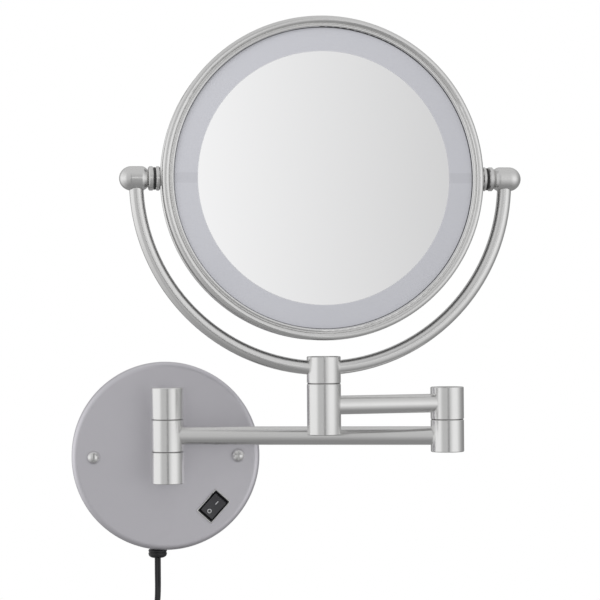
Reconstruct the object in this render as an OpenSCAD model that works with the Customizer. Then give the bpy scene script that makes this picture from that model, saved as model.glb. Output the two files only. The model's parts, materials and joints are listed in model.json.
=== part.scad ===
// Extendable shaving mirror: a round double-sided lit mirror in a U-shaped yoke, carried
// from a round wall cover by two swinging arms. Millimetres. The wall is the plane y = 0,
// the room is on the -y side, z is up, and the origin is the centre of the cover's back.

/* [Wall cover] */
// Outer diameter of the round wall cover
plate_d = 133; // [130:1:140]
// Distance from the wall to the cover's front face
plate_depth = 22; // [21:0.5:26]
// Thickness of the cover's sheet metal
plate_wall = 1.5; // [1.2:0.1:2]
// Radius of the cover's rounded front edge
plate_edge = 4; // [3:0.5:5]
// Distance between the two dome screws that hold the cover
cover_screw_spacing = 102; // [98:1:106]
// Distance between the wall holes, across and up
wall_hole_spacing = [76, 44]; // [40:1:80]
// Radius of the holes for the wall screws
wall_hole_r = 2.5; // [2:0.1:3]

/* [Hinge columns] */
// Diameter of the three hinge columns
column_d = 22.8; // [22:0.2:25]
// Height of one hinge knuckle
knuckle_h = 22; // [21:0.5:24]
// Gap between two knuckles, filled by a friction washer
washer_gap = 0.4; // [0.3:0.1:0.8]
// Diameter of the hollow hinge pins
pin_d = 10; // [9:0.5:10]
// Distance from the wall to the axis of the wall column
column_out = 46; // [44:1:52]
// Height of the first arm above the centre of the cover
arm_height = 16; // [12:1:16]

/* [Arms] */
// Outer diameter of the two arm tubes
arm_d = 12.7; // [11:0.1:12.7]
// Wall of the two arm tubes
arm_wall = 1.2; // [1:0.1:1.6]
// First arm, from the wall column's axis to the elbow's axis
first_arm_length = 194.5; // [160:0.5:240]
// Second arm, from the elbow's axis to the mirror column's axis
second_arm_length = 89; // [70:0.5:120]

/* [Yoke] */
// Outer diameter of the yoke's tube
yoke_tube_d = 9.5; // [9:0.1:9.6]
// Radius of the yoke's half circle, at the middle of the tube
yoke_r = 125; // [124:0.5:126]
// Height of the tilt axis above the lowest point of the yoke's centre line
yoke_drop = 127; // [126:0.5:130]
// Height of the tilt axis above the centre of the cover
head_height = 190.5; // [188:0.5:196]

/* [Mirror head] */
// Greatest diameter of the head, over its bezels
head_d = 217; // [214:0.5:217]
// Diameter of each mirror glass, frosted ring included
glass_d = 205; // [200:1:205]
// Thickness of each mirror glass
glass_t = 2.5; // [2:0.1:3]
// Radius of curvature of the magnifying glass
magnifier_r = 640; // [600:10:1200]
// Light chips behind each frosted ring
chips = 36; // [12:1:48]

/* [Rest pose] */
// Turn of the first arm out from the wall
first_arm_turn = 13; // [0:1:90]
// Fold of the second arm back over the first one, 0 when they are in line
elbow_fold = 155; // [0:1:160]
// Turn of the yoke on the second arm
yoke_turn = 170; // [0:1:180]
// Tilt of the head in the yoke
head_tilt = 0; // [-20:1:20]
// Tilt of the rocker to each side
rocker_tilt = 8; // [4:1:9]

/* [Hidden] */

$fn = 96;
nickel = [0.78, 0.77, 0.75];
black = [0.05, 0.05, 0.055];
steel = [0.62, 0.63, 0.64];

// Clearances: between pieces that are fixed to each other, and between turning ones
fixed_fit = 0.03;
running_fit = 0.05;

// Hinge columns
pin_r = pin_d / 2;
column_r = column_d / 2;
step = knuckle_h + washer_gap;
z_arm = arm_height;
z_upper = arm_height + step;
z_lower = arm_height - step;
half = knuckle_h / 2;
socket_x = 7;
cap_depth = 4.4;
nut_h = 2.4;
cap_h = 1.6;
cap_r = 8;
wire_r = 2.5;
post_below = 19.8;
post_h = 34.3;
socket_h = 18;
z_post = z_upper - post_below;
z_socket = z_post + post_h + washer_gap;

// Wall cover
plate_r = plate_d / 2;
inner_y = plate_depth - plate_wall;
bracket_t = 2;
bracket_r = cover_screw_spacing / 2 + 5;
post_r = 6;
nipple_r = 4;
switch_at = [33.2, -35.6];
switch_turn = 48;
bezel_l = 21;
bezel_w = 14.5;
open_l = 17;
open_w = 10.8;
rocker_w = 10.4;
rocker_pivot = 0.6;

// Cord: it leaves the cover straight down, and its spare length hangs in a tied coil
cord_d = 4.4;
gland_z = -72.6;
lead_route = [[-6, -11, gland_z], [-6, -11, -84], [-6, -11, -94], [-6.5, -11, -104],
    [-8.5, -11, -114], [-12, -11, -124], [-16, -11, -134], [-19, -11, -144],
    [-20, -11, -154]];
tail_route = [[-16, -11, -165], [-14.5, -11, -171], [-13.4, -11, -178], [-13, -11, -186],
    [-13, -11, -194], [-13, -11, -202]];
tail_end = tail_route[len(tail_route) - 1];
coil_at = [15, -11, -154];
coil_r = 26.6;
bundle_r = 8.5;

// Mirror head, in (radius, distance towards the front) of its own axis
head_r = head_d / 2;
glass_r = glass_d / 2;
face = 9.4;
bead_r = 2.6;
band_out = head_r - 1.7;
band_in = band_out - 2.9;
sag = magnifier_r - sqrt(magnifier_r * magnifier_r - 99 * 99);
boss_r = 8.1;
screw_r = 3;
boss_stem_r = 5;
skirt_from = boss_stem_r + 0.2;

// Angle at which the yoke's arc ends, inside the ball: 4 mm below the tilt axis
yoke_end = asin((4 - (yoke_drop - yoke_r)) / yoke_r);

// ---- frames of the moving groups, at the rest pose ----
module at_first_arm() {
    translate([0, -column_out, 0]) rotate([0, 0, -first_arm_turn]) children();
}
module at_second_arm() {
    at_first_arm() translate([first_arm_length, 0, 0]) rotate([0, 0, -elbow_fold]) children();
}
module at_yoke() {
    at_second_arm() translate([second_arm_length, 0, 0]) rotate([0, 0, yoke_turn]) children();
}
module at_head() {
    at_yoke() translate([0, 0, head_height]) rotate([head_tilt, 0, 0]) children();
}
// Turns z to the front (-y) and y to up (+z)
module facing_front() {
    rotate([90, 0, 0]) children();
}
module at_switch() {
    facing_front() translate([switch_at[0], switch_at[1], plate_depth])
        rotate([0, 0, switch_turn]) children();
}

// ---- shared shapes ----
module tube(r_out, r_in, z0, z1) {
    translate([0, 0, z0]) difference() {
        cylinder(r = r_out, h = z1 - z0);
        translate([0, 0, -1]) cylinder(r = r_in, h = z1 - z0 + 2);
    }
}
module rod(r, z0, z1) {
    translate([0, 0, z0]) cylinder(r = r, h = z1 - z0);
}
// A column's barrel, with a small bevel at both ends
module barrel(z0, h, bevel = 0.45) {
    translate([0, 0, z0]) rotate_extrude() polygon([[0, 0], [column_r - bevel, 0],
        [column_r, bevel], [column_r, h - bevel], [column_r - bevel, h], [0, h]]);
}
module along_x(r, x0, x1, z = 0) {
    translate([x0, 0, z]) rotate([0, 90, 0]) cylinder(r = r, h = x1 - x0);
}
// A ring with bevelled rims, around the x axis
module washer_x(r_out, r_in, x0, x1, bevel) {
    translate([x0, 0, 0]) rotate([0, 90, 0]) rotate_extrude() polygon([[r_in, 0],
        [r_out - bevel, 0], [r_out, bevel], [r_out, x1 - x0 - bevel],
        [r_out - bevel, x1 - x0], [r_in, x1 - x0]]);
}
module hex_nut(r, bore, z0, z1) {
    translate([0, 0, z0]) difference() {
        cylinder(r = r, h = z1 - z0, $fn = 6);
        translate([0, 0, -1]) cylinder(r = bore, h = z1 - z0 + 2);
    }
}
module rounded_rectangle(l, w, r) {
    square([l - 2 * r, w], center = true);
    square([l, w - 2 * r], center = true);
    for (x = [-1, 1], y = [-1, 1])
        translate([x * (l / 2 - r), y * (w / 2 - r)]) circle(r, $fn = 24);
}
// The socket for an arm's tube, and the wire's way from it to the pin
module arm_socket(z) {
    along_x(arm_d / 2 + fixed_fit, socket_x, column_r + 5, z);
    along_x(wire_r, 0, socket_x + 1, z);
}
// An arm's tube between two columns
module arm_tube(length, z) {
    difference() {
        along_x(arm_d / 2, socket_x, length - socket_x, z);
        along_x(arm_d / 2 - arm_wall, 0, length, z);
    }
}
// One thin disc of friction material between two knuckles
module friction_washer(z) {
    tube(column_r - 0.5, pin_r + 0.1, z + 0.02, z + washer_gap - 0.02);
}
function bend(points, k) = let(a = points[max(k - 1, 0)],
    b = points[min(k + 1, len(points) - 1)]) (b - a) / norm(b - a);
// A round tube swept along a list of points, all in a plane of constant y
module swept(points, r, sides = 10) {
    rings = [for (k = [0:len(points) - 1]) let(t = bend(points, k), n = cross(t, [0, 1, 0]))
        for (j = [0:sides - 1]) let(a = 360 * j / sides)
            points[k] + r * (cos(a) * n + sin(a) * [0, 1, 0])];
    last = len(points) - 1;
    sleeves = [for (k = [0:last - 1], j = [0:sides - 1]) let(i = (j + 1) % sides)
        [k * sides + j, k * sides + i, (k + 1) * sides + i, (k + 1) * sides + j]];
    ends = [[for (j = [sides - 1:-1:0]) j], [for (j = [0:sides - 1]) last * sides + j]];
    polyhedron(rings, concat(sleeves, ends), convexity = 4);
}

// ---- wall base ----
module wall_bracket() {
    color(steel) facing_front() difference() {
        rod(bracket_r, 0, bracket_t);
        for (x = [-1, 1], y = [-1, 1])
            translate([x * wall_hole_spacing[0] / 2, y * wall_hole_spacing[1] / 2, -1])
                cylinder(r = wall_hole_r, h = bracket_t + 2, $fn = 48);
    }
}
module bracket_bushes() {
    color(steel) facing_front() for (x = [-1, 1])
        translate([x * cover_screw_spacing / 2, 0, 0])
            tube(4.5, 2.05, bracket_t, inner_y);
}
module cover_outline(r, depth, edge) {
    square([r - edge, depth]);
    square([r, depth - edge]);
    translate([r - edge, depth - edge]) circle(edge);
}
module wall_cover() {
    color([0.63, 0.62, 0.64]) difference() {
        facing_front() difference() {
            rotate_extrude($fn = 144) difference() {
                cover_outline(plate_r, plate_depth, plate_edge);
                cover_outline(plate_r - plate_wall, inner_y, plate_edge - plate_wall);
                translate([-10, -1]) square([10, plate_depth + 2]);
            }
            for (x = [-1, 1]) translate([x * cover_screw_spacing / 2, 0, 0])
                rod(2.2, 1, plate_depth + 1);
            for (z = [z_upper, z_lower]) translate([0, z, 0])
                rod(nipple_r + fixed_fit, 1, plate_depth + 1);
            translate([switch_at[0], switch_at[1], inner_y - 1]) rotate([0, 0, switch_turn])
                linear_extrude(plate_wall + 2) square([18.9, 12.9], center = true);
        }
        translate([lead_route[0][0], lead_route[0][1], 0]) rod(4.65, -plate_r - 1, -50);
    }
}
module cover_screws() {
    color(nickel) facing_front() for (x = [-1, 1])
        translate([x * cover_screw_spacing / 2, 0, 0]) {
            rod(2, 8, plate_depth + 0.5);
            difference() {
                intersection() {
                    translate([0, 0, plate_depth + 0.3]) sphere(4.85);
                    rod(6, plate_depth, plate_depth + 6);
                }
                translate([-0.6, -6, plate_depth + 4]) cube([1.2, 12, 4]);
            }
        }
}
module backing_plate() {
    color(steel) difference() {
        translate([-14, -inner_y, z_lower - 14]) cube([28, 2, step * 2 + 28]);
        for (z = [z_upper, z_lower]) translate([0, 0, z]) facing_front()
            rod(nipple_r + fixed_fit, 1, plate_depth + 1);
    }
}
module column_posts() {
    color(nickel) for (z = [z_upper, z_lower]) translate([0, 0, z]) facing_front()
        tube(post_r, nipple_r + fixed_fit, plate_depth, column_out - 7.5);
}
module post_nipples() {
    color(steel) for (z = [z_upper, z_lower]) translate([0, 0, z]) facing_front()
        tube(nipple_r, wire_r, 13, column_out - 8);
}
module post_nuts() {
    color(steel) for (z = [z_upper, z_lower]) translate([0, 0, z]) facing_front()
        hex_nut(7, nipple_r + fixed_fit, inner_y - 6, inner_y - 2);
}
// The socket for a post, and the wire's way from it to the pin
module post_socket(z) {
    translate([0, 0, z]) facing_front() {
        rod(post_r + fixed_fit, -20, -7.5);
        rod(wire_r, -8, 0);
    }
}
module upper_knuckle() {
    color(nickel) translate([0, -column_out, 0]) difference() {
        barrel(z_upper - half, knuckle_h);
        rod(pin_r + fixed_fit, z_upper - half - 1, z_upper + half - 4);
        post_socket(z_upper);
    }
}
module lower_knuckle() {
    color(nickel) translate([0, -column_out, 0]) difference() {
        barrel(z_lower - half, knuckle_h);
        rod(pin_r + fixed_fit, z_lower - half - 1, z_lower + half + 1);
        rod(cap_r, z_lower - half - 1, z_lower - half + cap_depth);
        post_socket(z_lower);
    }
}
module wall_pin() {
    color(steel) translate([0, -column_out, 0]) difference() {
        tube(pin_r, 3, z_lower - half + cap_depth - nut_h - 0.1, z_upper + half - 4);
        translate([-10, -20, z_arm - 3]) cube([20, 20, 6]);
        translate([0, 0, z_upper]) facing_front() rod(wire_r, -8, 0);
    }
}
module wall_pin_nut() {
    color(steel) translate([0, -column_out, 0]) hex_nut(7.5, pin_r + fixed_fit,
        z_lower - half + cap_depth - nut_h - 0.1, z_lower - half + cap_depth - 0.1);
}
module wall_washers() {
    color(black) translate([0, -column_out, 0]) {
        friction_washer(z_lower + half);
        friction_washer(z_arm + half);
    }
}
module wall_column_cap() {
    color(nickel) translate([0, -column_out, 0])
        rod(cap_r - fixed_fit, z_lower - half, z_lower - half + cap_h);
}
module switch_housing() {
    color(black) at_switch() difference() {
        union() {
            linear_extrude(1.8) rounded_rectangle(bezel_l, bezel_w, 1);
            translate([0, 0, -6.5]) cube([18.8, 12.8, 13], center = true);
        }
        translate([-open_l / 2, -open_w / 2, -5]) cube([open_l, open_w, 8]);
        translate([0, 0, rocker_pivot - 1.6]) rotate([90, 0, 0])
            translate([0, 0, -5.95]) cylinder(r = 1.06, h = 11.9, $fn = 32);
    }
}
module switch_terminals() {
    color(steel) at_switch() for (x = [-6.5, 0, 6.5])
        translate([x - 0.4, -2.4, -17.2]) cube([0.8, 4.8, 4.2]);
}
module switch_rocker() {
    color(black) at_switch() translate([0, 0, rocker_pivot - 1.6])
        rotate([0, -rocker_tilt, 0]) rotate([90, 0, 0]) {
            translate([0, 0, -rocker_w / 2]) linear_extrude(rocker_w) intersection() {
                polygon([[-8.3, -2], [8.3, -2], [8.3, 4.6], [0, 3.6], [-8.3, 4.6]]);
                circle(8.35);
            }
            translate([0, 0, -5.85]) cylinder(r = 1, h = 11.7, $fn = 32);
        }
}
module led_driver() {
    color([0.9, 0.9, 0.88]) translate([-50, -14, 12]) cube([36, 12, 20]);
}
module strain_relief() {
    color(black) translate([lead_route[0][0], lead_route[0][1], 0]) rotate_extrude()
        polygon([[0, -60.6], [7, -60.6], [7, -63.5], [4.6, -63.5], [4.6, -66.6],
            [6.3, -66.6], [6.6, -67], [6.6, -68.2], [6.2, -68.5], [6.2, -69],
            [6.6, -69.3], [6.6, -71], [5.6, -72], [3.4, gland_z], [0, gland_z]]);
}
module power_cord() {
    color(black) swept(lead_route, cord_d / 2);
}
module cord_coil() {
    color(black) translate(coil_at) facing_front() rotate_extrude()
        translate([coil_r, 0]) circle(bundle_r);
}
module cord_tie() {
    color([0.12, 0.12, 0.13]) translate(coil_at) facing_front() rotate([0, 0, 80])
        rotate_extrude(angle = 20) translate([coil_r, 0]) difference() {
            circle(bundle_r + 0.9);
            circle(bundle_r + 0.05);
        }
}
module cord_tail() {
    color(black) swept(tail_route, cord_d / 2);
}
module plug_body() {
    color(black) translate(tail_end) {
        rod(4, -6, 0);
        translate([0, 0, -30]) linear_extrude(24) rounded_rectangle(26, 15, 4);
    }
}
module plug_blades() {
    color([0.8, 0.7, 0.45]) translate(tail_end) for (x = [-6.35, 6.35])
        translate([x - 0.75, -3.15, -47.5]) cube([1.5, 6.3, 17.5]);
}

// ---- first arm ----
module first_arm_hub() {
    color(nickel) at_first_arm() difference() {
        barrel(z_arm - half, knuckle_h);
        rod(pin_r + running_fit, z_arm - half - 1, z_arm + half + 1);
        arm_socket(z_arm);
    }
}
module first_arm_tube() {
    color(nickel) at_first_arm() arm_tube(first_arm_length, z_arm);
}
module first_arm_wire() {
    color([0.9, 0.9, 0.9]) at_first_arm() along_x(1.6, 9, first_arm_length - 9, z_arm - 2);
}
module elbow_lower_hub() {
    color(nickel) at_first_arm() translate([first_arm_length, 0, 0]) difference() {
        barrel(z_arm - half, knuckle_h);
        rod(pin_r + fixed_fit, z_arm - half + 3, z_arm + half + 1);
        rotate([0, 0, 180]) arm_socket(z_arm);
    }
}
module elbow_pin() {
    color(steel) at_first_arm() translate([first_arm_length, 0, 0]) difference() {
        tube(pin_r, 3, z_arm - half + 3, z_upper + half - cap_depth + nut_h + 0.1);
        rotate([0, 0, 180]) along_x(wire_r, 0, 8, z_arm);
        translate([-20, -10, z_upper - 3]) cube([20, 20, 6]);
    }
}
module elbow_pin_nut() {
    color(steel) at_first_arm() translate([first_arm_length, 0, 0]) hex_nut(7.5,
        pin_r + fixed_fit, z_upper + half - cap_depth + 0.1,
        z_upper + half - cap_depth + nut_h + 0.1);
}
module elbow_washer() {
    color(black) at_first_arm() translate([first_arm_length, 0, 0])
        friction_washer(z_arm + half);
}

// ---- second arm ----
module elbow_upper_hub() {
    color(nickel) at_second_arm() difference() {
        barrel(z_upper - half, knuckle_h);
        rod(pin_r + running_fit, z_upper - half - 1, z_upper + half + 1);
        rod(cap_r, z_upper + half - cap_depth, z_upper + half + 1);
        arm_socket(z_upper);
    }
}
module second_arm_tube() {
    color(nickel) at_second_arm() arm_tube(second_arm_length, z_upper);
}
module second_arm_wire() {
    color([0.9, 0.9, 0.9]) at_second_arm()
        along_x(1.6, 9, second_arm_length - 9, z_upper - 2);
}
module mirror_post() {
    color(nickel) at_second_arm() translate([second_arm_length, 0, 0]) difference() {
        barrel(z_post, post_h);
        rod(pin_r + running_fit, z_post - 1, z_post + post_h + 1);
        rod(cap_r, z_post - 1, z_post + cap_depth);
        rotate([0, 0, 180]) arm_socket(z_upper);
    }
}
module elbow_cap() {
    color(nickel) at_second_arm()
        rod(cap_r - fixed_fit, z_upper + half - cap_h, z_upper + half);
}
module mirror_post_cap() {
    color(nickel) at_second_arm() translate([second_arm_length, 0, 0])
        rod(cap_r - fixed_fit, z_post, z_post + cap_h);
}
module swivel_washer() {
    color(black) at_second_arm() translate([second_arm_length, 0, 0])
        friction_washer(z_post + post_h);
}

// ---- yoke ----
// Sweeps a flat section along the arc of the yoke's centre line, ends left and right
module yoke_sweep(left, right) {
    translate([0, 0, head_height - (yoke_drop - yoke_r)]) rotate([-90, 0, 0])
        rotate([0, 0, left]) rotate_extrude(angle = right - left, $fn = 180)
            translate([yoke_r, 0]) children();
}
module yoke_socket() {
    color(nickel) at_yoke() difference() {
        barrel(z_socket, socket_h);
        rod(pin_r + fixed_fit, z_socket - 1, z_socket + 4.6);
        rod(wire_r, z_socket + 4, head_height - yoke_drop);
        yoke_sweep(82, 98) circle(yoke_tube_d / 2 + fixed_fit, $fn = 48);
    }
}
module swivel_pin() {
    color(steel) at_yoke() difference() {
        tube(pin_r, 3, z_post + cap_depth - nut_h - 0.1, z_socket + 4.6);
        translate([0, -10, z_upper - 3]) cube([10, 20, 6]);
    }
}
module swivel_pin_nut() {
    color(steel) at_yoke() hex_nut(7.5, pin_r + fixed_fit,
        z_post + cap_depth - nut_h - 0.1, z_post + cap_depth - 0.1);
}
module yoke_tube() {
    color(nickel) at_yoke() difference() {
        yoke_sweep(yoke_end, 180 - yoke_end) difference() {
            circle(yoke_tube_d / 2, $fn = 48);
            circle(yoke_tube_d / 2 - 1.1, $fn = 48);
        }
        rod(2, head_height - yoke_drop - 8, head_height - yoke_drop);
    }
}
module yoke_wire() {
    color([0.9, 0.9, 0.9]) at_yoke() yoke_sweep(92, 176)
        translate([1.5, 0]) circle(1.3, $fn = 24);
}
// A rounded cap on the end of the yoke, drawn for the +x end
module pivot_ball() {
    difference() {
        translate([0, 0, head_height]) difference() {
            union() {
                translate([117, 0, 0]) rotate([0, 90, 0]) rotate_extrude()
                    polygon([[0, 0], [5.4, 0], [6.9, 1.4], [7.8, 2.9], [boss_r, 4.2],
                        [boss_r, 11.2], [0, 11.2]]);
                translate([yoke_r + 3.2, 0, 0]) sphere(boss_r);
            }
            along_x(screw_r + fixed_fit, 116, yoke_r + 2);
            translate([yoke_r, 0, 0]) rod(1.5, -5, 0);
        }
        yoke_sweep(yoke_end, 8) circle(yoke_tube_d / 2 + fixed_fit, $fn = 48);
    }
}
module left_pivot_ball() {
    color(nickel) at_yoke() mirror([1, 0, 0]) pivot_ball();
}
module right_pivot_ball() {
    color(nickel) at_yoke() pivot_ball();
}
module both_pivots() {
    at_yoke() translate([0, 0, head_height]) for (x = [0, 1]) mirror([x, 0, 0]) children();
}
module pivot_screws() {
    color(steel) both_pivots() difference() {
        union() {
            along_x(screw_r, 100.8, yoke_r + 2);
            translate([100.8, 0, 0]) rotate([0, 90, 0]) cylinder(r = 5, h = 2.4, $fn = 6);
        }
        along_x(1.5, 100, yoke_r + 3);
    }
}
module pivot_collars() {
    color(nickel) both_pivots() washer_x(boss_r, screw_r + fixed_fit, 113.5, 117, 0.8);
}
module pivot_washers() {
    color(black) both_pivots() washer_x(7.5, screw_r + fixed_fit, 112.25, 113.5, 0.2);
}

// ---- mirror head ----
module head_band() {
    color(nickel) at_head() difference() {
        facing_front() tube(band_out, band_in, -6.6, 6.6);
        for (x = [-1, 1]) rotate([0, 0, x * 90 - 90])
            along_x(boss_stem_r + fixed_fit, 95, head_r + 2);
    }
}
// Cross-section of a bezel: a skirt over the band, a round bead, a web and an inner lip
module bezel_section() {
    translate([band_out + fixed_fit, skirt_from]) square([0.9, face - skirt_from]);
    translate([head_r - bead_r, face]) circle(bead_r, $fn = 48);
    translate([head_r - 7, face]) square([5.5, 1]);
    translate([head_r - 6.6, face + 1.1]) circle(1.1, $fn = 32);
}
module bezel() {
    facing_front() rotate_extrude($fn = 180) bezel_section();
}
module front_bezel() {
    color(nickel) at_head() bezel();
}
module rear_bezel() {
    color(nickel) at_head() mirror([0, 1, 0]) bezel();
}
module front_mirror() {
    color([0.93, 0.93, 0.94]) at_head() facing_front() rod(glass_r, face - glass_t, face);
}
// Distance of the magnifying glass's face from the head's middle plane, at radius r
function dish(r) = face - sag + magnifier_r - sqrt(magnifier_r * magnifier_r - r * r);
module rear_mirror() {
    color([0.93, 0.93, 0.94]) at_head() facing_front() rotate_extrude($fn = 144)
        polygon(concat([for (r = [0:9:99]) [r, -dish(r)]], [[glass_r, -face]],
            [[glass_r, -face + glass_t]], [for (r = [99:-9:0]) [r, -dish(r) + glass_t]]));
}
module light_carrier() {
    color([0.95, 0.95, 0.95]) at_head() facing_front() difference() {
        union() {
            tube(band_in - 0.05, 62, 0, 1.6);
            tube(band_in - 0.9, band_in - 2.9, -face + glass_t + 0.05, face - glass_t - 0.02);
        }
        for (x = [-110, 98]) translate([x, -7, -10]) cube([12, 14, 20]);
    }
}
module front_light_board() {
    color([0.95, 0.95, 0.95]) at_head() facing_front() tube(99.5, 88, 1.6, 2.6);
}
module rear_light_board() {
    color([0.95, 0.95, 0.95]) at_head() facing_front() tube(99.5, 88, -1, 0);
}
module light_chips() {
    color([1, 0.93, 0.6]) at_head() facing_front() for (k = [0:chips - 1], w = [2.6, -1.8])
        rotate([0, 0, k * 360 / chips]) translate([92.3, -1.4, w]) cube([2.8, 2.8, 0.8]);
}
module head_bosses() {
    color(nickel) at_head() for (x = [0, 1]) mirror([x, 0, 0]) difference() {
        union() {
            washer_x(boss_r, 1, 109.2, 112.2, 0.8);
            along_x(boss_stem_r, 104.2, 109.2);
        }
        along_x(screw_r + running_fit, 100, 113);
    }
}

wall_bracket();
bracket_bushes();
wall_cover();
cover_screws();
backing_plate();
column_posts();
post_nipples();
post_nuts();
upper_knuckle();
lower_knuckle();
wall_pin();
wall_pin_nut();
wall_washers();
wall_column_cap();
switch_housing();
switch_terminals();
switch_rocker();
led_driver();
strain_relief();
power_cord();
cord_coil();
cord_tie();
cord_tail();
plug_body();
plug_blades();
first_arm_hub();
first_arm_tube();
first_arm_wire();
elbow_lower_hub();
elbow_pin();
elbow_pin_nut();
elbow_washer();
elbow_upper_hub();
second_arm_tube();
second_arm_wire();
mirror_post();
elbow_cap();
mirror_post_cap();
swivel_washer();
yoke_socket();
swivel_pin();
swivel_pin_nut();
yoke_tube();
yoke_wire();
left_pivot_ball();
right_pivot_ball();
pivot_screws();
pivot_collars();
pivot_washers();
head_band();
front_bezel();
rear_bezel();
front_mirror();
rear_mirror();
light_carrier();
front_light_board();
rear_light_board();
light_chips();
head_bosses();
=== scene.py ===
# %% [markdown]
# # Extendable shaving mirror, the looks
#
# The mirror hangs on a bathroom wall: a round satin cover, two swinging arms, a U-shaped
# yoke and a round head with a glass on both sides. The engineering model already holds every
# part at its true size. This lesson gives each part its finish, and builds in mesh code the
# few pieces whose detail is too fine for the engineering model: the flat twin lead, its
# plug, the gland, the strap on the coiled lead, the rocker switch with its bright bead and
# its marks, and the magnifying glass.

import json
import math

import bmesh
import bpy
from mathutils import Matrix, Vector


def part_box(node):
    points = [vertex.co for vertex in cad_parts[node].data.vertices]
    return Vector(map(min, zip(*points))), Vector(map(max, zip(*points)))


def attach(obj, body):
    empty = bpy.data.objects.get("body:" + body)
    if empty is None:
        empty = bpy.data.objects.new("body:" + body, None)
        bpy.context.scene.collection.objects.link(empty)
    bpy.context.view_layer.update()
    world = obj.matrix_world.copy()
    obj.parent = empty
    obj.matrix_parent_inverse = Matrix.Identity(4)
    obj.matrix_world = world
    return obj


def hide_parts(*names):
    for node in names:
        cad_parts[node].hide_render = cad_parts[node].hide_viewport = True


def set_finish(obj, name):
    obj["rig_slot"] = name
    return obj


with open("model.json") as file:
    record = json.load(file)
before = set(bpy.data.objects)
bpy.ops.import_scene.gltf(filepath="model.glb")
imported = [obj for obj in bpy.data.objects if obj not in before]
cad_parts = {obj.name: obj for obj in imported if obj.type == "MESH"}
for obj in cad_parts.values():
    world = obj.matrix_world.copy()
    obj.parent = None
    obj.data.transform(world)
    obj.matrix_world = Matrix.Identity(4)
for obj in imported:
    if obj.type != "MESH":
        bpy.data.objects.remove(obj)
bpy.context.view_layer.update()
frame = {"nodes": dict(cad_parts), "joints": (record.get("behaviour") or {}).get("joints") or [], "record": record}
nodes, joints = frame["nodes"], {j["name"]: j for j in frame["joints"]}
MM = 0.001

# %% [markdown]
# ## The camera
#
# A product like this is shown from a little to its left and from a metre and a half away,
# through a long lens, so that the two ends of the arms keep their true proportions. A camera
# in Blender looks along its own -Z axis, so its matrix is built from three directions:
# right, up, and back.

# %% Camera
camera_at = Vector((-0.061, -1.5, 0.096))
heading, rise, roll = (math.radians(a) for a in (6.06, 0.54, -0.4))
ahead = Vector((math.sin(heading) * math.cos(rise), math.cos(heading) * math.cos(rise),
                math.sin(rise)))
level = Vector((math.cos(heading), -math.sin(heading), 0))
over = level.cross(ahead)
right = level * math.cos(roll) + over * math.sin(roll)
up = over * math.cos(roll) - level * math.sin(roll)
camera = bpy.data.objects.new("camera", bpy.data.cameras.new("camera"))
camera.data.sensor_width, camera.data.lens = 36, 125.2
camera.data.clip_start, camera.data.clip_end = 0.05, 30
turned = Matrix((right, up, -ahead)).transposed().to_4x4()
camera.matrix_world = Matrix.Translation(camera_at) @ turned
bpy.context.scene.collection.objects.link(camera)
bpy.context.scene.camera = camera
print("camera", tuple(round(v, 3) for v in camera_at), "lens", camera.data.lens)

# %% [markdown]
# ## Making meshes
#
# Every hand-made piece here is a skin over a row of closed loops, so one helper lofts them
# all: it joins each loop to the next and closes both ends. Sharp edges are found by angle
# afterwards, which keeps long soft surfaces smooth and crisp corners crisp.

# %% Loft helper
def loft(name, loops, body, slot_name, sharp=35, closed=True):
    mesh = bmesh.new()
    rings = [[mesh.verts.new(point) for point in loop] for loop in loops]
    count = len(rings[0])
    for ring, following in zip(rings, rings[1:]):
        for k in range(count):
            after = (k + 1) % count
            mesh.faces.new((ring[k], ring[after], following[after], following[k]))
    if closed:
        mesh.faces.new(rings[0][::-1])
        mesh.faces.new(rings[-1])
    return finished(name, mesh, body, slot_name, sharp)


def finished(name, mesh, body, slot_name, sharp=35):
    bmesh.ops.recalc_face_normals(mesh, faces=mesh.faces)
    data = bpy.data.meshes.new(name)
    mesh.to_mesh(data)
    mesh.free()
    data.shade_smooth()
    data.set_sharp_from_angle(angle=math.radians(sharp))
    made = bpy.data.objects.new(name, data)
    bpy.context.scene.collection.objects.link(made)
    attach(made, body)
    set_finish(made, slot_name)
    print(f"{name}: {len(data.polygons)} faces on {body}")
    return made

# %% [markdown]
# ## The lead
#
# The lead is a flat twin cord, two insulated wires side by side with a groove between them,
# 4.4 mm wide and 2.6 mm thick. It leaves the cover straight down. The rest of its 1.8 m is
# wound into a tied coil below, and ends in a plug. A curve with a round bevel can't show the
# groove, so the cord is a mesh swept along its own centre line.
#
# The turns of the coil lie in a tight stack of eleven places. Each place touches the next
# one in the list, so the cord steps from one to the next without crossing the others.

# %% The lead's route
lead_length, lead_width, wire_radius = 1.8, 4.4 * MM, 1.3 * MM
lead_points = [(-6, -11, -72.6), (-6, -11, -84), (-6, -11, -94), (-6.5, -11, -104),
               (-8.5, -11, -114), (-12, -11, -124), (-16, -11, -134), (-19, -11, -144),
               (-20, -11, -154)]
tail_points = [(-16, -11, -165), (-14.5, -11, -171), (-13.4, -11, -178), (-13, -11, -186),
               (-13, -11, -194), (-13, -11, -202)]
coil_centre = Vector((15, -11, -154)) * MM
row_step = 3.64
places = [(8.4, -row_step), (4.2, -row_step), (0, -row_step), (-4.2, -row_step), (-6.3, 0),
          (-4.2, row_step), (-2.1, 0), (0, row_step), (2.1, 0), (4.2, row_step), (6.3, 0)]


def length_of(points):
    return sum((b - a).length for a, b in zip(points, points[1:]))


def ease(t):
    t = min(max(t, 0), 1)
    return t * t * (3 - 2 * t)


lead = [Vector(p) * MM for p in lead_points]
tail = [Vector(p) * MM for p in tail_points]
turning = 2 * math.pi * (len(places) - 1) + math.radians(20)
coil_radius = (lead_length - length_of(lead) - length_of(tail)) / turning
print("coil radius", round(coil_radius, 4))


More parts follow.
